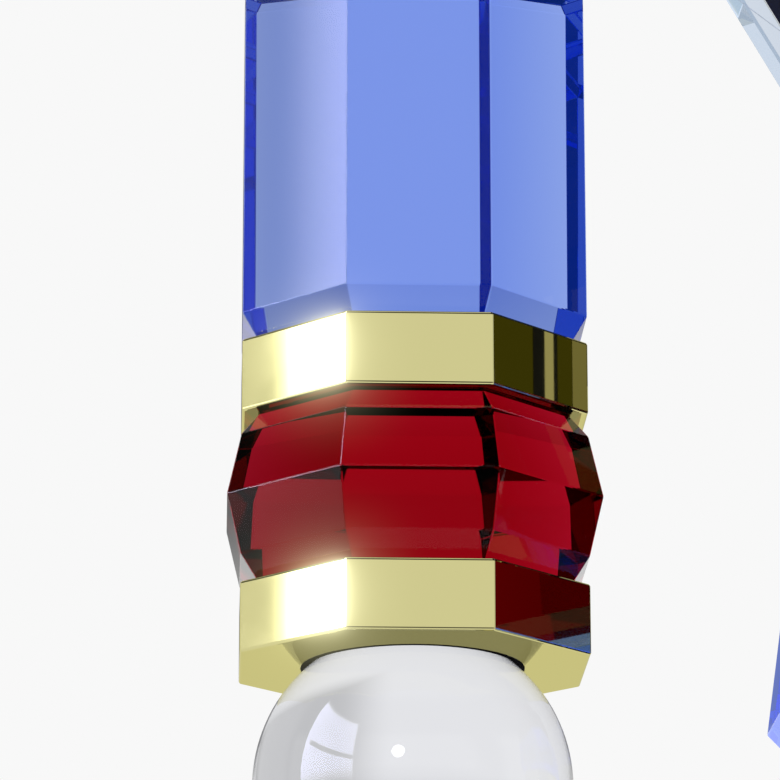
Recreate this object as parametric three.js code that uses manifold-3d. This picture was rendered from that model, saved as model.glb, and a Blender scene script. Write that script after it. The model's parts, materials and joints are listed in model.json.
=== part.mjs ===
// Nutcracker figure built from cut crystals and polished gold-tone metal bands.
// Millimetres, +Z up. The origin is the centre of the base's underside, and the figure faces -Y.
// Its right side is -X. The arms turn on pins at the shoulders, and a lever behind the back
// opens the jaw.

import * as THREE from 'three';
import { mergeVertices } from 'three/addons/utils/BufferGeometryUtils.js';
import Module from 'manifold-3d';

const wasm = await Module();
wasm.setup();

// ---------------------------------------------------------------- driving dimensions

// Shared finishes and fits
const glueLine = 0.08; // between glued faces
const metalEdge = 0.1; // chamfer on the metal's edges
const bevelInset = 0.9; // how far a crystal's bevel steps in
const bevelRise = 1.5; // how high a crystal's bevel is
const smallBevel = 0.5; // bevel on the small stones
const runningFit = 0.08; // radial, pins in their bores
const sideClearance = 0.15; // beside a washer
const seatGap = 0.3; // around a ball in its socket

// Arm, a stack of octagonal pieces
const armAcross = 20; // across the flats
const capHeight = 14.7;
const capStraight = 11.5;
const capTopAcross = 14;
const sleeveLength = 24;
const wristBandHeight = 4.34;
const cuffHeight = 9.91;
const cuffShoulderDrop = 1.27;
const cuffGirdleDrop = 4.9;
const cuffFootRise = 1.55;
const cuffBulge = 0.8; // girdle beyond the arm's flats
const cuffInset = 1.0;
const handBandHeight = 4.18;
const handRadius = 9.2;
const socketDepth = 2.3; // how far the ball sits in its band

// Base and legs
const plinthWidth = 66;
const plinthDepth = 48;
const plinthCut = 11;
const plinthHeight = 11;
const plateInset = 3.5;
const plateHeight = 3;
const legAcross = 16;
const legSpacing = 19; // between the legs' axes
const legLength = 40.13;
const bootHeight = 29;
const bootFootHeight = 8;
const bootInstepRise = 5;
const bootToe = 7; // toe ahead of the shaft
const bootFootExtra = 0.6; // foot beyond the shaft at the sides
const bootBandHeight = 3.6;
const bootBandProud = 0.9;

// Coat below the waist
const hipPlateWidth = 28;
const hipPlateDepth = 18;
const hipPlateCut = 5;
const hipPlateHeight = 3.92;
const hemBottomWidth = 32;
const hemTopWidth = 30.25;
const hemDepth = 22;
const hemCut = 8;
const hemHeight = 8.6;
const hemBevelInset = 0.8;
const hemBevelRise = 0.95;
const hipWidth = 26.5;
const hipDepth = 19;
const hipCut = 6.5;
const hipHeight = 12;
const hipBulge = 0.9;
const beltWidth = 22;
const beltDepth = 19;
const beltCut = 5;
const beltHeight = 6.1;
const beltTaper = 1.5; // how far its top steps in
const buckleWidth = 9;
const buckleHeight = 5;
const buckleThickness = 1.2; // ahead of the belt's foot
const waistWidth = 17.5;
const waistDepth = 17;
const waistCut = 3;
const waistHeight = 6.85;

// Chest and shoulders
const torsoHeight = 17.6;
const torsoTopWidth = 37.2;
const torsoTaper = 0.56; // loss of half-width per height
const torsoDepth = 19;
const torsoBackDepth = 8.9; // of it, the clear back layer
const torsoCut = 2; // its rear corners
const torsoFrontNarrowing = 7; // each side of the black layer, from the seam to its front
const buttonRadius = 1.6;
const buttonThickness = 1.3;
const buttonCount = 3;
const yokeWidth = 48.4;
const yokeHeight = 8.3;
const yokeFlareRise = 2.2;
const yokeCut = 4;
const shoulderGap = 2.6; // yoke's side to the arm's side
const shoulderPinRadius = 2;
const shoulderPinRise = 3.9; // pin axis above the yoke's foot
const shoulderPinAnchor = 6; // length held in the yoke
const shoulderPinReach = 11; // length held in the arm
const shoulderPinCover = 0.8; // cap's straight side above the pin
const washerRadius = 3.3;

// Neck and jaw
const neckWidth = 17;
const neckDepth = 14;
const neckCut = 3;
const neckHeight = 9.4;
const slotFloor = 1.6; // metal under the lever's slot
const slotRoof = 1; // metal over it
const leverThickness = 4.4;
const leverSideClearance = 0.3;
const leverHeight = 3;
const jawPinRadius = 1.2;
const handleDrop = 24; // length of the handle behind the back
const handleThickness = 3;
const handleStandOff = 1.8; // handle clear of the shoulders
const jawWidth = 11;
const jawThickness = 5.2;
const jawHeight = 6.2;
const jawStandOff = 1.2; // jaw clear of the neck's front
const beardWidth = 14;
const beardTipWidth = 4;
const beardLength = 13;
const beardThickness = 3.6;

// Head and face
const headWidth = 25;
const headDepth = 22;
const headCut = 4.5;
const headHeight = 20.4;
const eyeRadius = 1.7;
const eyeSpacing = 9.6;
const eyeRise = 12.4;
const browLength = 6;
const browHeight = 1.2;
const browGap = 1.6; // eye to brow
const browTilt = 8; // degrees
const noseWidth = 4.4;
const noseHeight = 5.6;
const noseProud = 3.4;
const noseRise = 6.6;
const moustacheLength = 8;
const moustacheHeight = 2.8;
const moustacheRise = 4.2;
const teethWidth = 9;
const teethHeight = 2.3;
const teethThickness = 2;
const featureThickness = 1.4;
const hairThickness = 2.6;
const hairDepth = 15;
const hairHeight = 14.5;

// Hat
const visorHeight = 2;
const visorReach = 6; // peak ahead of the head
const visorMargin = 1;
const hatBandHeight = 3.5;
const hatBottomWidth = 25.4;
const hatTopWidth = 28.4;
const hatDepthShare = 0.92; // depth against width
const hatCutShare = 0.26; // corner cut against width
const hatHeight = 21;
const hatBandProud = 0.5;
const crownHeight = 4.6;
const crownTopWidth = 15;
const finialBaseRadius = 3;
const finialBaseHeight = 2.2;
const finialRadius = 4;
const badgeRadius = 4.2;
const badgeThickness = 1.8;

// ---------------------------------------------------------------- finishes

function finish(color, roughness, metalness) {
  return new THREE.MeshStandardMaterial({ color, roughness, metalness });
}

const blueCrystal = finish(0x4a68dc, 0.03, 0);
const redCrystal = finish(0x97001c, 0.03, 0);
const clearCrystal = finish(0xdde6f2, 0.03, 0);
const blackCrystal = finish(0x17171b, 0.03, 0);
const goldMetal = finish(0xd1ca92, 0.08, 1);

// ---------------------------------------------------------------- geometry helpers

const regularCut = 2 - Math.SQRT2; // corner cut of a regular octagon, per half-width

// An eight-sided outline: half-widths x and y, corners cut by `cut` at 45 degrees.
function ring(z, x, y, cut, shiftX = 0, shiftY = 0) {
  return { z, x, y, cut, shiftX, shiftY };
}

function evenRing(z, half) {
  return ring(z, half, half, half * regularCut);
}

// The same outline moved inwards by `distance` on every side, at another height.
function insetRing(outline, distance, z) {
  const cut = outline.cut - distance * regularCut;
  return { ...outline, z, x: outline.x - distance, y: outline.y - distance, cut };
}

function ringPoints({ z, x, y, cut, shiftX, shiftY }) {
  const corners = [
    [x, -(y - cut)], [x, y - cut], [x - cut, y], [-(x - cut), y],
    [-x, y - cut], [-x, -(y - cut)], [-(x - cut), -y], [x - cut, -y],
  ];
  return corners.map(([px, py]) => [px + shiftX, py + shiftY, z]);
}

// A closed body through outlines of equal point count, listed from the bottom up.
function loft(outlines) {
  const sides = outlines[0].length;
  const index = [];
  for (let level = 0; level < outlines.length - 1; level += 1) {
    for (let side = 0; side < sides; side += 1) {
      const next = (side + 1) % sides;
      const a = level * sides + side;
      const b = level * sides + next;
      index.push(a, b, b + sides, a, b + sides, a + sides);
    }
  }
  const top = (outlines.length - 1) * sides;
  for (let side = 1; side < sides - 1; side += 1) {
    index.push(0, side + 1, side);
    index.push(top, top + side, top + side + 1);
  }
  const geometry = new THREE.BufferGeometry();
  geometry.setAttribute('position', new THREE.Float32BufferAttribute(outlines.flat(2), 3));
  geometry.setIndex(index);
  return geometry;
}

function ringLoft(rings) {
  return loft(rings.map(ringPoints));
}

// A straight stack from outline `foot` up to outline `head`, bevelled at both ends.
function bevelled(foot, head, inset, rise) {
  return ringLoft([
    insetRing(foot, inset, foot.z),
    { ...foot, z: foot.z + rise },
    { ...head, z: head.z - rise },
    insetRing(head, inset, head.z),
  ]);
}

function crystal(foot, head) {
  return bevelled(foot, head, bevelInset, bevelRise);
}

function stone(foot, head) {
  return bevelled(foot, head, smallBevel, smallBevel);
}

function metal(foot, head) {
  return bevelled(foot, head, metalEdge, metalEdge);
}

// A barrel-shaped crystal: out from the shoulders to a girdle and in again to the foot.
function barrel(outline, z0, height, bulge) {
  const girdle = insetRing(outline, -bulge, z0 + height - cuffGirdleDrop);
  return ringLoft([
    insetRing(outline, cuffInset, z0),
    { ...outline, z: z0 + cuffFootRise },
    girdle,
    { ...outline, z: z0 + height - cuffShoulderDrop },
    insetRing(outline, cuffInset, z0 + height),
  ]);
}

// Degenerate triangles at a pole or a seam are left out before a boolean.
function toSolid(geometry) {
  const bare = geometry.clone();
  bare.deleteAttribute('normal');
  bare.deleteAttribute('uv');
  const merged = mergeVertices(bare, 1e-5);
  const source = merged.index.array;
  const kept = [];
  for (let i = 0; i < source.length; i += 3) {
    const [a, b, c] = [source[i], source[i + 1], source[i + 2]];
    if (a !== b && b !== c && c !== a) kept.push(a, b, c);
  }
  return new wasm.Manifold(new wasm.Mesh({
    numProp: 3,
    vertProperties: new Float32Array(merged.attributes.position.array),
    triVerts: new Uint32Array(kept),
  }));
}

function fromSolid(solid) {
  const mesh = solid.getMesh();
  const geometry = new THREE.BufferGeometry();
  geometry.setAttribute('position', new THREE.BufferAttribute(mesh.vertProperties, 3));
  geometry.setIndex(new THREE.BufferAttribute(mesh.triVerts, 1));
  return geometry;
}

function cutAway(geometry, ...tools) {
  const start = toSolid(geometry);
  return fromSolid(tools.reduce((solid, tool) => solid.subtract(toSolid(tool)), start));
}

function joined(...geometries) {
  return fromSolid(geometries.map(toSolid).reduce((solid, other) => solid.add(other)));
}

// A round bar along X between two places.
function barAlongX(radius, x0, x1, y, z, sides = 32) {
  const geometry = new THREE.CylinderGeometry(radius, radius, Math.abs(x1 - x0), sides);
  geometry.rotateZ(Math.PI / 2);
  geometry.translate((x0 + x1) / 2, y, z);
  return geometry;
}

// A round button on a face that looks along -Y; `back` is where it touches that face.
function buttonShape(radius, thickness, x, back, z) {
  const rim = radius - thickness / 2;
  const profile = [[0, 0], [radius, 0], [radius, thickness / 2], [rim, thickness], [0, thickness]];
  const geometry = new THREE.LatheGeometry(profile.map(([r, h]) => new THREE.Vector2(r, h)), 16);
  geometry.rotateX(Math.PI);
  geometry.translate(x, back, z);
  return fromSolid(toSolid(geometry));
}

// A rectangle around the origin, as [x, z] corners.
function rectangle(width, height) {
  const [x, z] = [width / 2, height / 2];
  return [[-x, -z], [x, -z], [x, z], [-x, z]];
}

// A stone glued on a face that looks along -Y: `outline` is a list of [x, z] corners around
// `centre`, counter-clockwise when seen from the front, and the front is smaller by `shrink`.
function plaque(outline, centre, back, thickness, shrink) {
  const [cx, cz] = centre;
  const level = (depth, scale) => outline.map(([x, z]) => [cx + x * scale, back - depth, cz + z * scale]);
  return loft([level(0, 1), level(thickness * 0.5, 1), level(thickness, shrink)]);
}

// A flat shape in the Y-Z plane, given as [y, z] corners, with a thickness along X.
function sideProfile(corners, hole, thickness) {
  const shape = new THREE.Shape(corners.map(([y, z]) => new THREE.Vector2(y, z)));
  const bore = new THREE.Path();
  bore.absarc(hole.y, hole.z, hole.radius, 0, Math.PI * 2, true);
  shape.holes.push(bore);
  const geometry = new THREE.ExtrudeGeometry(shape, {
    depth: thickness, bevelEnabled: false, curveSegments: 24,
  });
  geometry.translate(0, 0, -thickness / 2);
  geometry.applyMatrix4(new THREE.Matrix4().makeBasis(
    new THREE.Vector3(0, 1, 0), new THREE.Vector3(0, 0, 1), new THREE.Vector3(1, 0, 0)));
  return geometry;
}

// ---------------------------------------------------------------- assembly

const figure = new THREE.Group();

function add(name, geometry, material, parent = figure) {
  const mesh = new THREE.Mesh(geometry, material);
  mesh.name = name;
  parent.add(mesh);
  return mesh;
}

// `sign` is the side's direction along X.
const sides = [{ side: 'right', sign: -1 }, { side: 'left', sign: 1 }];

// Heights of the stack, from the floor up
const plateFoot = plinthHeight + glueLine;
const bootFoot = plateFoot + plateHeight + glueLine;
const bootBandFoot = bootFoot + bootHeight + glueLine;
const legFoot = bootBandFoot + bootBandHeight + glueLine;
const hipPlateFoot = legFoot + legLength + glueLine;
const hemFoot = hipPlateFoot + hipPlateHeight + glueLine;
const hipFoot = hemFoot + hemHeight + glueLine;
const beltFoot = hipFoot + hipHeight + glueLine;
const waistFoot = beltFoot + beltHeight + glueLine;
const torsoFoot = waistFoot + waistHeight + glueLine;
const yokeFoot = torsoFoot + torsoHeight + glueLine;
const neckFoot = yokeFoot + yokeHeight + glueLine;
const headFoot = neckFoot + neckHeight + glueLine;
const visorFoot = headFoot + headHeight + glueLine;
const hatBandFoot = visorFoot + visorHeight + glueLine;
const hatFoot = hatBandFoot + hatBandHeight + glueLine;
const topBandFoot = hatFoot + hatHeight + glueLine;
const crownFoot = topBandFoot + hatBandHeight + glueLine;
const finialFoot = crownFoot + crownHeight + glueLine;

function addBase() {
  const plinth = ring(0, plinthWidth / 2, plinthDepth / 2, plinthCut);
  add('base_plinth', crystal(plinth, { ...plinth, z: plinthHeight }), blackCrystal);
  const plate = insetRing(plinth, plateInset, plateFoot);
  add('base_plate', metal(plate, { ...plate, z: plateFoot + plateHeight }), goldMetal);
}

function addLeg({ side, sign }) {
  const leg = new THREE.Group();
  leg.position.x = sign * legSpacing / 2;
  figure.add(leg);

  const shaftHalf = legAcross / 2;
  const footHalf = shaftHalf + bootFootExtra;
  const footDepth = shaftHalf + bootToe / 2;
  const foot = ring(bootFoot, footHalf, footDepth, footHalf * regularCut, 0, -bootToe / 2);
  const shaft = evenRing(bootFoot + bootFootHeight + bootInstepRise, shaftHalf);
  add(`boot_${side}`, ringLoft([
    insetRing(foot, smallBevel, bootFoot),
    { ...foot, z: bootFoot + smallBevel },
    { ...foot, z: bootFoot + bootFootHeight },
    shaft,
    { ...shaft, z: bootFoot + bootHeight - smallBevel },
    insetRing(shaft, smallBevel, bootFoot + bootHeight),
  ]), blackCrystal, leg);

  const band = evenRing(bootBandFoot, shaftHalf + bootBandProud);
  add(`boot_band_${side}`, metal(band, { ...band, z: bootBandFoot + bootBandHeight }), goldMetal, leg);

  const thigh = evenRing(legFoot, shaftHalf);
  add(`leg_${side}`, crystal(thigh, { ...thigh, z: legFoot + legLength }), clearCrystal, leg);
}

function addCoat() {
  const hipPlate = ring(hipPlateFoot, hipPlateWidth / 2, hipPlateDepth / 2, hipPlateCut);
  add('hip_plate', metal(hipPlate, { ...hipPlate, z: hipPlateFoot + hipPlateHeight }), goldMetal);

  const hemBottom = ring(hemFoot, hemBottomWidth / 2, hemDepth / 2, hemCut);
  const hemTop = ring(hemFoot + hemHeight, hemTopWidth / 2,
    (hemDepth - hemBottomWidth + hemTopWidth) / 2, hemCut);
  add('coat_hem', ringLoft([
    insetRing(hemBottom, hemBevelInset, hemFoot),
    { ...hemBottom, z: hemFoot + hemBevelRise },
    { ...hemTop, z: hemTop.z - hemBevelRise },
    insetRing(hemTop, hemBevelInset, hemTop.z),
  ]), blueCrystal);

  const hip = ring(0, hipWidth / 2, hipDepth / 2, hipCut);
  add('hip_crystal', barrel(hip, hipFoot, hipHeight, hipBulge), redCrystal);

  // The buckle is one casting with the belt, and stands out from its sloping front.
  const belt = ring(beltFoot, beltWidth / 2, beltDepth / 2, beltCut);
  const band = metal(belt, insetRing(belt, beltTaper, beltFoot + beltHeight));
  const centre = [0, beltFoot + beltHeight / 2];
  const root = beltTaper + buckleThickness;
  const back = -beltDepth / 2 + root;
  const buckle = plaque(rectangle(buckleWidth, buckleHeight), centre, back, buckleThickness + root, 0.85);
  add('belt', joined(band, buckle), goldMetal);

  const waist = ring(waistFoot, waistWidth / 2, waistDepth / 2, waistCut);
  add('waist', stone(waist, { ...waist, z: waistFoot + waistHeight }), blackCrystal);
}

function torsoHalf(z) {
  return torsoTopWidth / 2 - (torsoFoot + torsoHeight - z) * torsoTaper;
}

// The outline at height z of the clear layer, whose rear corners are cut.
function torsoBackOutline(seam, z) {
  const half = torsoHalf(z);
  const rear = torsoDepth / 2;
  const corners = [
    [half, seam], [half, rear - torsoCut], [half - torsoCut, rear],
    [torsoCut - half, rear], [-half, rear - torsoCut], [-half, seam],
  ];
  return corners.map(([x, y]) => [x, y, z]);
}

// The outline at height z of the black layer, which narrows towards its front.
function torsoFrontOutline(seam, z) {
  const half = torsoHalf(z);
  const frontHalf = half - torsoFrontNarrowing;
  const front = -torsoDepth / 2;
  const corners = [[half, seam], [-half, seam], [-frontHalf, front], [frontHalf, front]];
  return corners.map(([x, y]) => [x, y, z]);
}

// A black crystal in front of a clear one, both wider towards the shoulders.
function addTorso() {
  const top = torsoFoot + torsoHeight;
  const seam = torsoDepth / 2 - torsoBackDepth;
  const levels = [torsoFoot, top];
  add('torso_back', loft(levels.map((z) => torsoBackOutline(seam, z))), clearCrystal);
  const front = loft(levels.map((z) => torsoFrontOutline(seam - glueLine, z)));
  add('torso_front', front, blackCrystal);

  const pitch = torsoHeight / (buttonCount + 1);
  const buttonBack = -torsoDepth / 2 - glueLine;
  for (let i = 1; i <= buttonCount; i += 1) {
    const z = top - pitch * i;
    add(`button_${i}`, buttonShape(buttonRadius, buttonThickness, 0, buttonBack, z), goldMetal);
  }
}

const armX = yokeWidth / 2 + shoulderGap + armAcross / 2;
const shoulderZ = yokeFoot + shoulderPinRise;

function addShoulders() {
  const flareFoot = ring(yokeFoot, torsoTopWidth / 2, torsoDepth / 2, torsoCut);
  const flareTop = ring(yokeFoot + yokeFlareRise, yokeWidth / 2, torsoDepth / 2, yokeCut);
  const yokeTop = yokeFoot + yokeHeight;
  const yoke = ringLoft([
    flareFoot,
    flareTop,
    { ...flareTop, z: yokeTop - bevelInset },
    insetRing(flareTop, bevelInset, yokeTop),
  ]);
  const bores = sides.map(({ sign }) => barAlongX(shoulderPinRadius + runningFit,
    sign * (yokeWidth / 2 - shoulderPinAnchor), sign * (yokeWidth / 2 + 1), 0, shoulderZ));
  add('shoulder_yoke', cutAway(yoke, ...bores), goldMetal);

  for (const { side, sign } of sides) {
    const inner = yokeWidth / 2 - shoulderPinAnchor + sideClearance;
    const outer = yokeWidth / 2 + shoulderGap + shoulderPinReach;
    const pin = barAlongX(shoulderPinRadius, sign * inner, sign * outer, 0, shoulderZ);
    add(`shoulder_pin_${side}`, pin, goldMetal);

    const from = yokeWidth / 2 + sideClearance;
    const to = yokeWidth / 2 + shoulderGap - sideClearance;
    const disc = barAlongX(washerRadius, sign * from, sign * to, 0, shoulderZ);
    const bore = barAlongX(shoulderPinRadius + runningFit, sign * (from - 1), sign * (to + 1), 0, shoulderZ);
    add(`shoulder_washer_${side}`, cutAway(disc, bore), goldMetal);
  }
}

// The arm hangs from the cap: sleeve, wrist band, cuff, hand band and ball.
function addArm({ side, sign }) {
  const arm = new THREE.Group();
  arm.position.x = sign * armX;
  figure.add(arm);

  const half = armAcross / 2;
  const capFoot = shoulderZ + shoulderPinRadius + shoulderPinCover - capStraight;
  const cap = evenRing(capFoot, half);
  const capBody = ringLoft([
    insetRing(cap, metalEdge, capFoot),
    { ...cap, z: capFoot + metalEdge },
    { ...cap, z: capFoot + capStraight },
    evenRing(capFoot + capHeight, capTopAcross / 2),
  ]);
  const bore = barAlongX(shoulderPinRadius + runningFit, -sign * (half + 1),
    -sign * (half - shoulderPinReach - seatGap), 0, shoulderZ);
  add(`shoulder_cap_${side}`, cutAway(capBody, bore), goldMetal, arm);

  const sleeveFoot = capFoot - glueLine - sleeveLength;
  const sleeve = evenRing(sleeveFoot, half);
  const sleeveTop = sleeveFoot + sleeveLength;
  add(`sleeve_${side}`, ringLoft([
    insetRing(sleeve, bevelInset, sleeveFoot),
    { ...sleeve, z: sleeveFoot + bevelRise },
    { ...sleeve, z: sleeveTop - smallBevel },
    insetRing(sleeve, smallBevel, sleeveTop),
  ]), blueCrystal, arm);

  const wristFoot = sleeveFoot - glueLine - wristBandHeight;
  const wrist = evenRing(wristFoot, half);
  add(`wrist_band_${side}`, metal(wrist, { ...wrist, z: wristFoot + wristBandHeight }), goldMetal, arm);

  const cuffFoot = wristFoot - glueLine - cuffHeight;
  add(`cuff_${side}`, barrel(evenRing(0, half), cuffFoot, cuffHeight, cuffBulge), redCrystal, arm);

  const handBandFoot = cuffFoot - glueLine - handBandHeight;
  const handZ = handBandFoot - handRadius + socketDepth;
  const handBand = evenRing(handBandFoot, half);
  const socket = new THREE.SphereGeometry(handRadius + seatGap, 48, 32);
  socket.rotateX(Math.PI / 2);
  socket.translate(0, 0, handZ);
  const band = metal(handBand, { ...handBand, z: handBandFoot + handBandHeight });
  add(`hand_band_${side}`, cutAway(band, socket), goldMetal, arm);

  const ball = new THREE.SphereGeometry(handRadius, 40, 24);
  ball.rotateX(Math.PI / 2);
  const hand = add(`hand_${side}`, fromSolid(toSolid(ball)), clearCrystal, arm);
  hand.position.z = handZ;
}

const slotHeight = neckHeight - slotFloor - slotRoof;
const jawPinZ = neckFoot + slotFloor + slotHeight / 2;
const leverHalf = leverThickness / 2;
const jawBack = -neckDepth / 2 - jawStandOff;
const jawFront = jawBack - jawThickness;

function addNeckAndJaw() {
  const neck = ring(neckFoot, neckWidth / 2, neckDepth / 2, neckCut);
  const block = metal(neck, { ...neck, z: neckFoot + neckHeight });
  const slot = new THREE.BoxGeometry(leverThickness + 2 * leverSideClearance, neckDepth + 2, slotHeight);
  slot.translate(0, 0, jawPinZ);
  const pinBore = barAlongX(jawPinRadius + runningFit, -neckWidth, neckWidth, 0, jawPinZ);
  add('neck', cutAway(block, slot, pinBore), goldMetal);
  const pinHalf = neckWidth / 2 - sideClearance;
  add('jaw_pin', barAlongX(jawPinRadius, -pinHalf, pinHalf, 0, jawPinZ), goldMetal);

  // The lever runs back through the neck and turns down behind the shoulders.
  const leverFoot = jawPinZ - leverHeight / 2;
  const leverTop = jawPinZ + leverHeight / 2;
  const handleFront = torsoDepth / 2 + handleStandOff;
  const handleBack = handleFront + handleThickness;
  const lever = sideProfile([
    [jawBack + glueLine, leverFoot],
    [handleFront, leverFoot],
    [handleFront, leverTop - handleDrop + handleThickness / 2],
    [handleFront + handleThickness / 2, leverTop - handleDrop],
    [handleBack, leverTop - handleDrop + handleThickness / 2],
    [handleBack, leverTop - handleThickness / 2],
    [handleBack - handleThickness / 2, leverTop],
    [jawBack + glueLine, leverTop],
  ], { y: 0, z: jawPinZ, radius: jawPinRadius + runningFit }, leverThickness);
  add('jaw_lever', lever, goldMetal);

  const jawTop = headFoot - seatGap;
  const jawY = jawBack - jawThickness / 2;
  const jawFoot = ring(jawTop - jawHeight, jawWidth / 2, jawThickness / 2, jawThickness / 4, 0, jawY);
  add('jaw', stone(jawFoot, { ...jawFoot, z: jawTop }), redCrystal);

  const beardTop = jawTop - jawHeight / 3;
  const halfTop = beardWidth / 2;
  const halfTip = beardTipWidth / 2;
  const shoulder = beardLength * 0.3;
  const outline = [
    [-halfTip, -beardLength], [halfTip, -beardLength], [halfTop, -shoulder],
    [halfTop * 0.8, 0], [-halfTop * 0.8, 0], [-halfTop, -shoulder],
  ];
  const beardCentre = -beardLength / 2;
  const around = outline.map(([x, z]) => [x, z - beardCentre]);
  const centre = [0, beardTop + beardCentre];
  add('beard', plaque(around, centre, jawFront - glueLine, beardThickness, 0.72), clearCrystal);
}

function addHead() {
  const head = ring(headFoot, headWidth / 2, headDepth / 2, headCut);
  add('head', crystal(head, { ...head, z: headFoot + headHeight }), clearCrystal);

  const face = -headDepth / 2 - glueLine;
  for (const { side, sign } of sides) {
    const eyeX = sign * eyeSpacing / 2;
    const eyeZ = headFoot + eyeRise;
    add(`eye_${side}`, buttonShape(eyeRadius, featureThickness, eyeX, face, eyeZ), blackCrystal);

    // The brow's outer end is the lower one.
    const slope = -sign * Math.tan(THREE.MathUtils.degToRad(browTilt));
    const brow = rectangle(browLength, browHeight).map(([x, z]) => [x, z + x * slope]);
    const browZ = eyeZ + eyeRadius + browGap + browHeight / 2;
    add(`brow_${side}`, plaque(brow, [eyeX, browZ], face, featureThickness, 0.8), blackCrystal);

    // Each half of the moustache sweeps from the nose out to a raised tip.
    const inner = seatGap / 2;
    const half = [
      [inner, -moustacheHeight * 0.35], [moustacheLength * 0.55, -moustacheHeight / 2],
      [moustacheLength, moustacheHeight * 0.5], [moustacheLength * 0.5, moustacheHeight * 0.2],
      [inner, moustacheHeight * 0.5],
    ];
    const outline = sign > 0 ? half : half.map(([x, z]) => [-x, z]).reverse();
    const middle = sign * moustacheLength / 2;
    const around = outline.map(([x, z]) => [x - middle, z]);
    const centre = [middle, headFoot + moustacheRise];
    add(`moustache_${side}`, plaque(around, centre, face, featureThickness * 1.4, 0.8), blackCrystal);

    const hairX = sign * (headWidth / 2 + glueLine + hairThickness / 2);
    const hair = ring(headFoot + smallBevel, hairThickness / 2, hairDepth / 2, hairThickness / 4, hairX);
    const hairTop = { ...hair, z: hair.z + hairHeight };
    add(`hair_${side}`, stone(hair, hairTop), clearCrystal);
  }

  // The nose is a wedge, narrow at the bridge, and its tip stands out at the foot.
  const bridge = noseWidth / 6;
  const noseFoot = headFoot + noseRise;
  const noseOutline = [[-noseWidth / 2, 0], [noseWidth / 2, 0], [bridge, noseHeight], [-bridge, noseHeight]];
  const noseLevel = (y, scale) => noseOutline.map(([x, z]) => [x * scale, y, noseFoot + z * scale]);
  add('nose', loft([noseLevel(face, 1), noseLevel(face - noseProud, 0.45)]), clearCrystal);

  const teethCentre = [0, headFoot + seatGap + teethHeight / 2];
  const teeth = plaque(rectangle(teethWidth, teethHeight), teethCentre, face, teethThickness, 0.86);
  add('upper_teeth', teeth, clearCrystal);
}

function hatRing(z, width) {
  return ring(z, width / 2, width * hatDepthShare / 2, width * hatCutShare);
}

function addHat() {
  const depth = headDepth + 2 * visorMargin + visorReach;
  const width = headWidth + 2 * visorMargin;
  const visor = ring(visorFoot, width / 2, depth / 2, headCut + visorMargin, 0, -visorReach / 2);
  add('visor', stone(visor, { ...visor, z: visorFoot + visorHeight }), blackCrystal);

  const lower = hatRing(hatBandFoot, hatBottomWidth + 2 * hatBandProud);
  add('hat_band', metal(lower, { ...lower, z: hatBandFoot + hatBandHeight }), goldMetal);

  const hatBottom = hatRing(hatFoot, hatBottomWidth);
  const hatTop = hatRing(hatFoot + hatHeight, hatTopWidth);
  add('hat', crystal(hatBottom, hatTop), blueCrystal);

  const upper = hatRing(topBandFoot, hatTopWidth + 2 * hatBandProud);
  add('hat_top_band', metal(upper, { ...upper, z: topBandFoot + hatBandHeight }), goldMetal);

  const crownRing = hatRing(crownFoot, hatTopWidth - 2 * hatBandProud);
  add('hat_crown', ringLoft([
    insetRing(crownRing, smallBevel, crownFoot),
    { ...crownRing, z: crownFoot + smallBevel },
    hatRing(crownFoot + crownHeight, crownTopWidth),
  ]), redCrystal);

  const rim = new THREE.CylinderGeometry(finialBaseRadius * 0.8, finialBaseRadius, finialBaseHeight, 32);
  rim.rotateX(Math.PI / 2);
  rim.translate(0, 0, finialFoot + finialBaseHeight / 2);
  const seatRadius = finialBaseRadius / 2;
  const ballRise = Math.sqrt(finialRadius ** 2 - seatRadius ** 2);
  const ballZ = finialFoot + finialBaseHeight / 2 + ballRise;
  const seat = new THREE.SphereGeometry(finialRadius + seatGap, 40, 24);
  seat.rotateX(Math.PI / 2);
  seat.translate(0, 0, ballZ);
  add('finial_base', cutAway(rim, seat), goldMetal);
  const ball = new THREE.SphereGeometry(finialRadius, 32, 18);
  ball.rotateX(Math.PI / 2);
  const finial = add('finial', fromSolid(toSolid(ball)), clearCrystal);
  finial.position.z = ballZ;

  // The badge stands on the hat's front, which leans out towards the top.
  const lean = Math.atan2((hatTopWidth - hatBottomWidth) * hatDepthShare / 2, hatHeight - 2 * bevelRise);
  const diamond = [[0, -badgeRadius], [badgeRadius * 0.75, 0], [0, badgeRadius], [-badgeRadius * 0.75, 0]];
  const badge = add('hat_badge', plaque(diamond, [0, 0], 0, badgeThickness, 0.35), goldMetal);
  const frontY = -(hatBottomWidth + hatTopWidth) / 4 * hatDepthShare;
  badge.position.set(0, frontY - seatGap, hatFoot + hatHeight / 2);
  badge.rotation.x = lean;
}

addBase();
sides.forEach(addLeg);
addCoat();
addTorso();
addShoulders();
sides.forEach(addArm);
addNeckAndJaw();
addHead();
addHat();

export default figure;
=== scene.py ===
"""Looks of the crystal nutcracker figure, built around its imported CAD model."""

import json
import math

import bmesh
import bpy
from mathutils import Matrix, Vector


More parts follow.
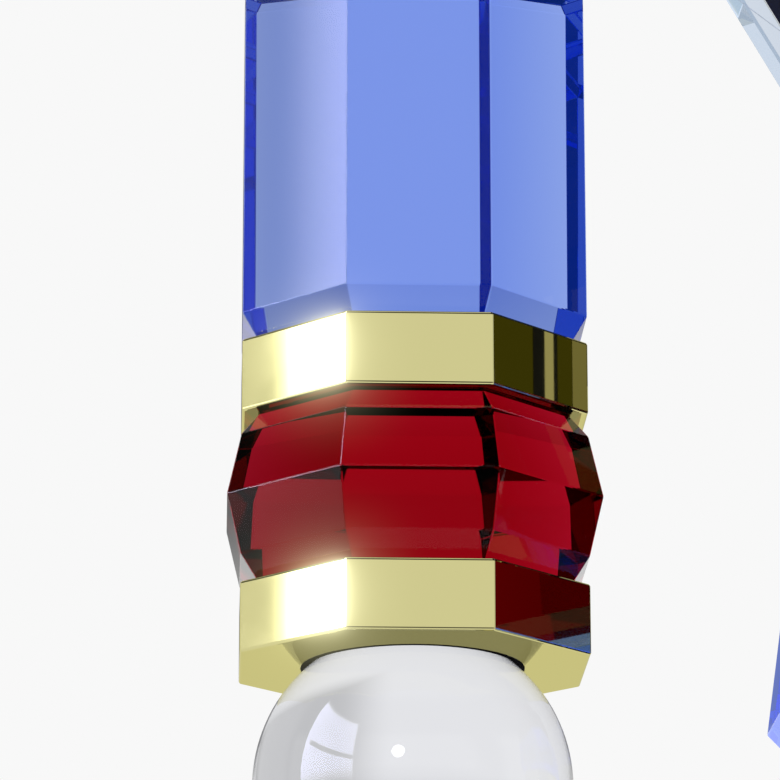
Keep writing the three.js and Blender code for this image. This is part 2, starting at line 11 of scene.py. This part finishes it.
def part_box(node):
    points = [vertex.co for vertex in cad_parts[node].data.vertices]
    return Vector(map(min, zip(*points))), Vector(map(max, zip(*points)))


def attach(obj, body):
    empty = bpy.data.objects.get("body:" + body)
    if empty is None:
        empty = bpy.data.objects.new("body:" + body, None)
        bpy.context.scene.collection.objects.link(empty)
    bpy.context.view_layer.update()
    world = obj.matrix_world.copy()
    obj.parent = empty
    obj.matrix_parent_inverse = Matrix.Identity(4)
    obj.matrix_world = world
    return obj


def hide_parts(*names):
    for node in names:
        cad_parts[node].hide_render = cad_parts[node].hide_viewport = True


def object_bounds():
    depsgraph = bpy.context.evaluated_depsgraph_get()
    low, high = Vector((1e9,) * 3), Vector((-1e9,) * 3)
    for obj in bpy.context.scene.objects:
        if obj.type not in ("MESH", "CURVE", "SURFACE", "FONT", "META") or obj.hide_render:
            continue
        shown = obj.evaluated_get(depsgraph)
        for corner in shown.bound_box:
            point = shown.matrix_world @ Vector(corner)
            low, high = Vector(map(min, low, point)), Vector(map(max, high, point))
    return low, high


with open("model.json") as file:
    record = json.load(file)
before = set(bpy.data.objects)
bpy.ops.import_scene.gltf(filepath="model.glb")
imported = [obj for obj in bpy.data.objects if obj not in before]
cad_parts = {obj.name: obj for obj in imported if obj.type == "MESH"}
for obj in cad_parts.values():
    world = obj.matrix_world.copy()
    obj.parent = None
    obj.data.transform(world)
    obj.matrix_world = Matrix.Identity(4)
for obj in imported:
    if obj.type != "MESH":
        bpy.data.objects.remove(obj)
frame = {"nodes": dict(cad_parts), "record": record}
cad_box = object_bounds()

MM = 0.001  # a plain length is in metres
RIGHT, LEFT = "right", "left"

# ------------------------------------------------------------------ camera

# The camera stands low, in front of the figure and a little to its right, and looks up at the
# right arm. Everything is measured from the arm's axis, at the height of the wrist band.
CAMERA_LENS = 212.3
CAMERA_SENSOR = 36.0
CAMERA_ELEVATION = math.radians(-16.377)
CAMERA_AZIMUTH = math.radians(-2.165)
CAMERA_DISTANCE = 269.94 * MM
CAMERA_ASIDE = 1.30 * MM
AIM_BELOW_BAND = 1.767 * MM


def make_camera():
    band_low, band_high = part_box("wrist_band_right")
    aim = Vector(((band_low.x + band_high.x) / 2, 0, band_high.z - AIM_BELOW_BAND))
    a, e = CAMERA_AZIMUTH, CAMERA_ELEVATION
    forward = Vector((-math.sin(a) * math.cos(e), math.cos(a) * math.cos(e), -math.sin(e)))
    right = Vector((math.cos(a), math.sin(a), 0))
    up = right.cross(forward)
    data = bpy.data.cameras.new("camera")
    data.lens = CAMERA_LENS
    data.sensor_width = CAMERA_SENSOR
    data.clip_start = 0.01
    camera = bpy.data.objects.new("camera", data)
    turn = Matrix((right, up, -forward)).transposed()
    place = aim - forward * CAMERA_DISTANCE - right * CAMERA_ASIDE
    camera.matrix_world = Matrix.Translation(place) @ turn.to_4x4()
    bpy.context.scene.collection.objects.link(camera)
    bpy.context.scene.camera = camera


# ------------------------------------------------------------------ node helpers

class Nodes:
    """A short way to add and link shader nodes in one tree."""

    def __init__(self, tree):
        self.tree = tree
        tree.nodes.clear()

    def add(self, kind, inputs=None, **settings):
        node = self.tree.nodes.new(kind)
        for name, value in settings.items():
            setattr(node, name, value)
        for name, value in (inputs or {}).items():
            self.set(node.inputs[name], value)
        return node

    def set(self, socket, value):
        if isinstance(value, bpy.types.NodeSocket):
            self.tree.links.new(value, socket)
        else:
            socket.default_value = value

    def ramp(self, value, start, end, low=0.0, high=1.0):
        """A smooth step from low at start to high at end."""
        node = self.add("ShaderNodeMapRange", interpolation_type="SMOOTHSTEP", clamp=True)
        numbers = (value, start, end, low, high)
        for socket, number in zip(node.inputs, numbers):
            self.set(socket, number)
        return node.outputs[0]

    def math(self, operation, *values):
        node = self.add("ShaderNodeMath", operation=operation)
        for socket, value in zip(node.inputs, values):
            self.set(socket, value)
        return node.outputs[0]

    def choose(self, factor, a, b):
        """A value that goes from a to b as factor goes from 0 to 1."""
        node = self.add("ShaderNodeMix", data_type="FLOAT")
        for socket, value in zip(node.inputs[:1] + node.inputs[2:4], (factor, a, b)):
            self.set(socket, value)
        return node.outputs[0]

    def choose_colour(self, factor, a, b):
        node = self.add("ShaderNodeMix", data_type="RGBA")
        for socket, value in zip(node.inputs[:1] + node.inputs[6:8], (factor, a, b)):
            self.set(socket, value)
        return node.outputs[2]

    def product(self, *values):
        out = values[0]
        for value in values[1:]:
            out = self.math("MULTIPLY", out, value)
        return out


def new_material(name):
    material = bpy.data.materials.new(name)
    material.use_nodes = True
    return material, Nodes(material.node_tree)


# ------------------------------------------------------------------ studio

# Where a part of the room starts and ends is a pair of values of one coordinate of the unit
# direction that looks at it: nothing at the first, all of it at the second. The coordinate is Z,
# unless the line says otherwise.
BACKGROUND = 0.939
DARK = 0.02

WALL_EDGE = (0.10, 0.35)  # along Y
WALL_TOP = (0.95, 0.50)
HORIZON = (0.12, 0.20)
HIGH_BACK = 0.925  # share of the background that is left above the horizon
RIGHT_EDGE = (0.12, 0.42)  # along X
RIGHT_BACK = 0.68  # and towards +X

SIDE_FRONT = (-0.50, -0.30)  # along Y
SIDE_BACK = (0.30, 0.10)  # along Y
SIDE_TOP = (0.50, 0.38)
SIDE_FOOT = (-0.35, -0.15)

PANEL_EDGE = (-0.60, -0.80)  # along Y
PANEL_FOOT = (0.02, 0.10)
PANEL_TOP = (0.50, 0.40)

BELOW = (-0.14, -0.45)

SOFTBOX = 10.0
WINDOW_TINT = (0.97, 1.0, 1.35, 1)
WINDOW_BACK = (-0.0095, -0.027)  # along Y
WINDOW_FRONT = (0.02, -0.04)  # along X - Y
WINDOW_TOP = (0.74, 0.70)  # along Z, plus the slope times Y
WINDOW_TOP_SLOPE = -0.287
WINDOW_FOOT = (-0.10, 0.14)
BAR_HEIGHT = 0.42  # along Z, plus the slope times Y
BAR_SLOPE = -0.32
BAR_EDGE = (0.028, 0.016)  # away from its middle
BAR_START = (-0.06, -0.12)  # along Y

SPOT = 60.0
SPOT_DIRECTION = Vector((-0.213, -0.943, 0.252)).normalized()
SPOT_SIZE = math.radians(2.4)

BEHIND = 0.15  # share of the wall straight behind the figure that shows in grazing reflections
BEHIND_EDGE = (0.90, 0.94)  # along Y
BEHIND_FOOT = (0.18, 0.24)
OVERHEAD = 0.75  # what a face turned upwards mirrors
OVERHEAD_EDGE = (0.75, 0.88)
THROUGH_EDGE = (-0.2, -0.5)  # along Y
INNER_LIGHT = 0.45
INNER_DEPTH = 4


def back_wall(n, x, y, z):
    wall = n.product(n.ramp(y, *WALL_EDGE), n.ramp(z, *WALL_TOP))
    high = n.ramp(z, *HORIZON, 1.0, HIGH_BACK)
    return n.product(wall, high, n.ramp(x, *RIGHT_EDGE, 1.0, RIGHT_BACK))


def window(n, x, y, z):
    """A tall window at the figure's right, with one crossbar."""
    edges = n.product(
        n.ramp(y, *WINDOW_BACK), n.ramp(n.math("SUBTRACT", x, y), *WINDOW_FRONT),
        n.ramp(n.math("MULTIPLY_ADD", y, WINDOW_TOP_SLOPE, z), *WINDOW_TOP),
        n.ramp(z, *WINDOW_FOOT))
    height = n.math("MULTIPLY_ADD", y, BAR_SLOPE, z)
    off_bar = n.math("ABSOLUTE", n.math("SUBTRACT", height, BAR_HEIGHT))
    bar = n.product(n.ramp(off_bar, *BAR_EDGE), n.ramp(y, *BAR_START))
    return n.product(edges, n.math("SUBTRACT", 1.0, bar))


def room(n, x, y, z):
    """White behind, beside and below the figure and on a panel in front, and dark elsewhere."""
    sides = n.product(n.ramp(y, *SIDE_FRONT), n.ramp(z, *SIDE_TOP), n.ramp(z, *SIDE_FOOT),
                      n.ramp(y, *SIDE_BACK))
    panel = n.product(n.ramp(y, *PANEL_EDGE), n.ramp(z, *PANEL_FOOT), n.ramp(z, *PANEL_TOP))
    white = back_wall(n, x, y, z)
    for part in (sides, panel, n.ramp(z, *BELOW)):
        white = n.math("MAXIMUM", white, part)
    return n.math("MULTIPLY_ADD", white, BACKGROUND - DARK, DARK)


def spot_lamp(n, direction):
    along = n.add("ShaderNodeVectorMath", {0: direction, 1: SPOT_DIRECTION},
                  operation="DOT_PRODUCT").outputs["Value"]
    return n.ramp(along, math.cos(2 * SPOT_SIZE), math.cos(SPOT_SIZE))


def light_by_ray(n, path, light, y, z):
    """What each kind of ray sees of the room's light. Mirrored, the wall straight behind is dim
    and the ceiling is bright. Through a crystal, the front is as bright as the background. A ray
    that has met INNER_DEPTH surfaces or more gets one even value, which stands for light that has
    bounced about inside a crystal. The camera sees plain white."""
    mirrored = path.outputs["Is Reflection Ray"]
    behind = n.product(mirrored, n.ramp(y, *BEHIND_EDGE), n.ramp(z, *BEHIND_FOOT))
    light = n.product(light, n.math("SUBTRACT", 1.0, n.product(behind, 1 - BEHIND)))
    light = n.choose(n.product(mirrored, n.ramp(z, *OVERHEAD_EDGE)), light, OVERHEAD)
    through = n.product(path.outputs["Is Transmission Ray"], n.ramp(y, *THROUGH_EDGE))
    light = n.choose(through, light, BACKGROUND)
    deep = n.math("GREATER_THAN", path.outputs["Ray Depth"], INNER_DEPTH - 0.5)
    light = n.choose(deep, light, INNER_LIGHT)
    return n.choose(path.outputs["Is Camera Ray"], light, BACKGROUND)


def make_world():
    """The room, with a bright window at the figure's right and one small lamp in front."""
    world = bpy.data.worlds.new("studio")
    world.use_nodes = True
    bpy.context.scene.world = world
    n = Nodes(world.node_tree)
    direction = n.add("ShaderNodeTexCoord").outputs["Generated"]
    x, y, z = n.add("ShaderNodeSeparateXYZ", {0: direction}).outputs
    path = n.add("ShaderNodeLightPath")
    pane = window(n, x, y, z)
    light = n.math("MULTIPLY_ADD", pane, SOFTBOX, room(n, x, y, z))
    light = n.math("MULTIPLY_ADD", spot_lamp(n, direction), SPOT, light)
    strength = light_by_ray(n, path, light, y, z)
    cold = n.product(pane, n.math("SUBTRACT", 1.0, path.outputs["Is Camera Ray"]))
    colour = n.choose_colour(cold, (1, 1, 1, 1), WINDOW_TINT)
    background = n.add("ShaderNodeBackground", {"Color": colour, "Strength": strength})
    n.add("ShaderNodeOutputWorld", {"Surface": background.outputs[0]})


FLOOR_RADIUS = 0.6
FLOOR_DROP = 0.02 * MM  # below the figure
FLOOR_FADE = (0.45, 0.95)  # shares of the radius


def make_floor():
    """A white floor that fades out at its rim and is clear from below. It isn't mirrored, and it
    isn't seen through the crystals."""
    mesh = bpy.data.meshes.new("floor")
    bm = bmesh.new()
    bmesh.ops.create_circle(bm, cap_ends=True, radius=FLOOR_RADIUS, segments=96)
    bm.to_mesh(mesh)
    bm.free()
    floor = bpy.data.objects.new("floor", mesh)
    bpy.context.scene.collection.objects.link(floor)
    floor.location.z = cad_box[0].z - FLOOR_DROP
    material, n = new_material("floor")
    place = n.add("ShaderNodeTexCoord").outputs["Object"]
    distance = n.add("ShaderNodeVectorMath", {0: place}, operation="LENGTH").outputs["Value"]
    fade = n.ramp(distance, *(FLOOR_RADIUS * share for share in FLOOR_FADE))
    under = n.add("ShaderNodeNewGeometry").outputs["Backfacing"]
    clear = n.math("MAXIMUM", fade, under)
    paint = n.add("ShaderNodeBsdfDiffuse", {"Color": (0.85, 0.85, 0.85, 1)})
    nothing = n.add("ShaderNodeBsdfTransparent")
    mix = n.add("ShaderNodeMixShader", {0: clear, 1: paint.outputs[0], 2: nothing.outputs[0]})
    n.add("ShaderNodeOutputMaterial", {"Surface": mix.outputs[0]})
    floor.data.materials.append(material)
    floor.visible_glossy = False
    floor.visible_transmission = False


LAMP_SIZE = 1.2
LAMP_HEIGHT = 1.4
LAMP_POWER = 11


def make_lamp():
    """A soft lamp overhead that lights the floor and isn't seen in the crystals and the metal."""
    data = bpy.data.lights.new("overhead", "AREA")
    data.shape = "DISK"
    data.size = LAMP_SIZE
    data.energy = LAMP_POWER
    lamp = bpy.data.objects.new("overhead", data)
    lamp.location = (0, 0, LAMP_HEIGHT)
    bpy.context.scene.collection.objects.link(lamp)
    lamp.visible_camera = False
    lamp.visible_glossy = False
    lamp.visible_transmission = False


BLOOM_THRESHOLD = 1.5
BLOOM_STRENGTH = 0.65
BLOOM_SIZE = 0.12


def make_bloom():
    """The lens's glow around what is brighter than the paper-white background."""
    scene = bpy.context.scene
    scene.use_nodes = True
    tree = scene.node_tree
    tree.nodes.clear()
    layers = tree.nodes.new("CompositorNodeRLayers")
    glare = tree.nodes.new("CompositorNodeGlare")
    glare.glare_type = "BLOOM"
    glare.quality = "HIGH"
    glare.inputs["Threshold"].default_value = BLOOM_THRESHOLD
    glare.inputs["Strength"].default_value = BLOOM_STRENGTH
    glare.inputs["Size"].default_value = BLOOM_SIZE
    output = tree.nodes.new("CompositorNodeComposite")
    tree.links.new(layers.outputs["Image"], glare.inputs["Image"])
    tree.links.new(glare.outputs["Image"], output.inputs["Image"])


BOUNCES = 12
CLEAR_BOUNCES = 16


def set_rendering():
    scene = bpy.context.scene
    scene.view_settings.view_transform = "Standard"
    scene.cycles.max_bounces = BOUNCES
    scene.cycles.transmission_bounces = BOUNCES
    scene.cycles.glossy_bounces = BOUNCES
    scene.cycles.transparent_max_bounces = CLEAR_BOUNCES


# ------------------------------------------------------------------ materials

CRYSTAL_IOR = 1.56
BLUE = (0.076, 0.330, 0.913)
RED = (0.835, 0.04, 0.29)
CLEAR = (0.90, 0.92, 0.96)
SMOKY = (0.904, 0.909, 0.930)
BLACK = (0.012, 0.012, 0.014)
GOLD = (0.66, 0.62, 0.29)
GOLD_EDGE = (0.8, 0.77, 0.5)


def crystal(name, colour, density, gloss=1.0, glow=(0, 0, 0)):
    """Polished cut crystal, coloured in the mass. A coated one has less gloss than 1. The glow
    stands for light that goes on bouncing inside it, and the real piece has none."""
    material, n = new_material(name)
    body = n.add("ShaderNodeBsdfPrincipled", {
        "Base Color": (1, 1, 1, 1), "Roughness": 0.0, "IOR": CRYSTAL_IOR,
        "Transmission Weight": 1.0, "Specular Tint": (gloss, gloss, gloss, 1),
        "Emission Color": (*glow, 1), "Emission Strength": 1.0})
    volume = n.add("ShaderNodeVolumeAbsorption", {"Color": (*colour, 1), "Density": density})
    n.add("ShaderNodeOutputMaterial", {"Surface": body.outputs[0], "Volume": volume.outputs[0]})
    return material


def opaque_crystal(name, colour, roughness=0.03, specular=0.25):
    material, n = new_material(name)
    body = n.add("ShaderNodeBsdfPrincipled", {
        "Base Color": (*colour, 1), "Roughness": roughness, "IOR": CRYSTAL_IOR,
        "Specular IOR Level": specular})
    n.add("ShaderNodeOutputMaterial", {"Surface": body.outputs[0]})
    return material


CLOUD_SCALE = 180.0
CLOUD_RANGE = (0.35, 0.7)
METAL_ROUGHNESS = (0.015, 0.035)


def polished_metal(name, colour, edge=1.0):
    """Gold-tone metal. `edge` scales how bright it is at a grazing angle."""
    material, n = new_material(name)
    place = n.add("ShaderNodeTexCoord").outputs["Object"]
    cloud = n.add("ShaderNodeTexNoise", {"Vector": place, "Scale": CLOUD_SCALE, "Detail": 3.0})
    roughness = n.ramp(cloud.outputs["Fac"], *CLOUD_RANGE, *METAL_ROUGHNESS)
    body = n.add("ShaderNodeBsdfPrincipled", {
        "Base Color": (*colour, 1), "Metallic": 1.0, "Roughness": roughness,
        "Specular Tint": (*(edge * part for part in GOLD_EDGE), 1)})
    n.add("ShaderNodeOutputMaterial", {"Surface": body.outputs[0]})
    return material


def make_materials():
    return {
        "blue_crystal": crystal("blue_crystal", BLUE, 80.0, gloss=0.25, glow=(0.001, 0.006, 0.030)),
        "red_crystal": crystal("red_crystal", RED, 340.0, gloss=0.2),
        "hem": crystal("hem", BLUE, 60.0, gloss=0.2, glow=(0.034, 0.058, 0.170)),
        "chest": crystal("chest", CLEAR, 25.0, gloss=0.5, glow=(0.026, 0.04, 0.058)),
        "clear_crystal": crystal("clear_crystal", CLEAR, 25.0, gloss=0.5),
        "ball": crystal("ball", SMOKY, 100.0, gloss=0.4),
        "black_crystal": opaque_crystal("black_crystal", BLACK),
        # A matte black, used for the ring in the hands' sockets and, as painted shade, for the
        # belt's black stripes.
        "matte_black": opaque_crystal("matte_black", (0.004, 0.004, 0.005), roughness=0.9, specular=0.05),
        "gold_metal": polished_metal("gold_metal", GOLD),
        # Three darker copies of the gold, used for the belt's stripes: painted shade, not three
        # metals.
        "gold_painted_deep_shade": polished_metal("gold_painted_deep_shade", (0.06, 0.055, 0.006), edge=0.06),
        "gold_painted_pale_shade": polished_metal("gold_painted_pale_shade", (0.45, 0.42, 0.28), edge=0.45),
        "gold_painted_mid_shade": polished_metal("gold_painted_mid_shade", (0.24, 0.22, 0.11), edge=0.25),
    }


# ------------------------------------------------------------------ pieces

WELD = 0.001 * MM
FLAT_ANGLE = math.radians(0.6)
SHARP_ANGLE = math.radians(12)
CRYSTAL_ARRIS = 0.06 * MM
METAL_ARRIS = 0.08 * MM
ARRIS_SEGMENTS = 2


def clean_copy(node):
    """The node's solid as a bmesh with welded points and whole flat faces."""
    bm = bmesh.new()
    bm.from_mesh(frame["nodes"][node].data)
    bmesh.ops.remove_doubles(bm, verts=bm.verts, dist=WELD)
    bmesh.ops.dissolve_limit(bm, angle_limit=FLAT_ANGLE, verts=bm.verts, edges=bm.edges)
    for face in bm.faces:
        face.smooth = False
    return bm


def sharp_edges(bm):
    return [e for e in bm.edges if len(e.link_faces) == 2 and e.calc_face_angle(0) > SHARP_ANGLE]


def place_piece(name, bm, body, slot, nodes=(), look=None):
    """Makes the bmesh a piece on a body. Its material is the slot's, unless `look` names one."""
    mesh = bpy.data.meshes.new(name)
    bm.to_mesh(mesh)
    bm.free()
    piece = bpy.data.objects.new(name, mesh)
    bpy.context.scene.collection.objects.link(piece)
    piece.data.materials.append(materials[look or slot])
    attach(piece, body)
    if nodes:
        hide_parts(*nodes)
    return piece


def body_of(node):
    for body, members in frame["record"]["behaviour"]["bodies"].items():
        if node in members:
            return body
    raise ValueError(node)


def slot_of(node):
    for part in frame["record"]["subparts"]:
        if part["node"] == node:
            return part["material_slot"]
    raise ValueError(node)


LOOKS = {"coat_hem": "hem", "torso_back": "chest"}


def faceted_piece(node, arris):
    """A cut piece: its flats as designed, with every edge rounded by `arris`."""
    bm = clean_copy(node)
    bmesh.ops.bevel(bm, geom=sharp_edges(bm), offset=arris, offset_type="OFFSET",
                    segments=ARRIS_SEGMENTS, profile=0.5, affect="EDGES", clamp_overlap=True)
    return place_piece(f"{node}_cut", bm, body_of(node), slot_of(node), [node], LOOKS.get(node))


ROUND = 128  # points around a circle


def ball_piece(node):
    low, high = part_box(node)
    bm = bmesh.new()
    radius = (high.z - low.z) / 2
    bmesh.ops.create_uvsphere(bm, u_segments=ROUND, v_segments=ROUND // 2, radius=radius)
    bmesh.ops.translate(bm, verts=bm.verts, vec=(low + high) / 2)
    for face in bm.faces:
        face.smooth = True
    return place_piece(f"{node}_ball", bm, body_of(node), slot_of(node), [node], "ball")


SEAT_GAP = 0.3 * MM  # between a hand and its socket, as designed
RING_PLAY = 0.03 * MM  # around the black ring


def socket_ring(side):
    """A matte black ring that fills the mouth of a hand's socket, round the ball."""
    low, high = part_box(f"hand_{side}")
    centre = (low + high) / 2
    radius = (high.z - low.z) / 2
    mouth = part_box(f"hand_band_{side}")[0].z
    levels = [mouth + RING_PLAY, mouth + RING_PLAY + SEAT_GAP]
    bm = bmesh.new()
    loops = []
    for reach in (radius + RING_PLAY, radius + SEAT_GAP - RING_PLAY):
        for level in levels:
            half = math.sqrt(reach ** 2 - (level - centre.z) ** 2)
            loops.append(circle_loop(bm, centre.x, centre.y, level, half))
    inner_low, inner_high, outer_low, outer_high = loops
    for a, b in ((inner_low, inner_high), (inner_high, outer_high), (outer_high, outer_low),
                 (outer_low, inner_low)):
        bridge(bm, a, b)
    place_piece(f"socket_ring_{side}", bm, f"arm_{side}", "black_crystal", look="matte_black")


def circle_loop(bm, x, y, z, radius):
    turns = [2 * math.pi * i / ROUND for i in range(ROUND)]
    return [bm.verts.new((x + radius * math.cos(t), y + radius * math.sin(t), z)) for t in turns]


def bridge(bm, a, b, smooth=True):
    for i in range(len(a)):
        k = (i + 1) % len(a)
        face = bm.faces.new((a[i], b[i], b[k], a[k]))
        face.smooth = smooth


# A striped plate stands on each front corner of the belt. It is a guess, and it has no solid in
# the CAD model. It is there to be mirrored in the gold bands, and its stripes are painted shade:
# the black ones stand for shade in the mirrored image, and the gold ones are shaded copies of one
# gold, each as dark as the tone it is mirrored as. Each stripe is given by where it starts and
# ends along Y, in mm in front of the figure's middle, and by its material.
STRIPES = ((8.4, 6.12, "gold_painted_deep_shade"), (6.10, 5.46, "matte_black"), (5.44, 4.93, "gold_painted_pale_shade"),
           (4.91, 4.73, "matte_black"), (4.71, 3.88, "gold_painted_deep_shade"), (3.86, 3.05, "gold_painted_mid_shade"))
STRIPE_THICKNESS = 0.9 * MM
STRIPE_REACH = 15.9 * MM  # |x| + |y| at the plate's outer face
STRIPE_RISE = 3.6 * MM  # above the belt
STRIPE_FOOT = 0.2 * MM  # above the belt's underside


def belt_stripes(side):
    sign = -1 if side == RIGHT else 1
    low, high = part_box("belt")
    heights = (low.z + STRIPE_FOOT, high.z + STRIPE_RISE)
    for number, (front, back, look) in enumerate(STRIPES, 1):
        outer = [(STRIPE_REACH - y * MM, -y * MM) for y in (front, back)]
        inner = [(x - STRIPE_THICKNESS, y + STRIPE_THICKNESS) for x, y in reversed(outer)]
        bm = bmesh.new()
        lower, upper = ([bm.verts.new((sign * x, y, z)) for x, y in outer + inner] for z in heights)
        bm.faces.new(lower)
        bm.faces.new(upper)
        bridge(bm, lower, upper, smooth=False)
        bmesh.ops.recalc_face_normals(bm, faces=bm.faces)
        slot = "black_crystal" if look == "matte_black" else "gold_metal"
        place_piece(f"belt_stripe_{side}_{number}", bm, "figure", slot, look=look)


def make_pieces():
    balls = {"hand_right", "hand_left", "finial"}
    for node in sorted(frame["nodes"]):
        if node in balls:
            ball_piece(node)
        else:
            faceted_piece(node, CRYSTAL_ARRIS if "crystal" in slot_of(node) else METAL_ARRIS)
    for side in (RIGHT, LEFT):
        socket_ring(side)
        belt_stripes(side)


make_camera()
set_rendering()
make_bloom()
make_world()
make_floor()
make_lamp()
materials = make_materials()
make_pieces()
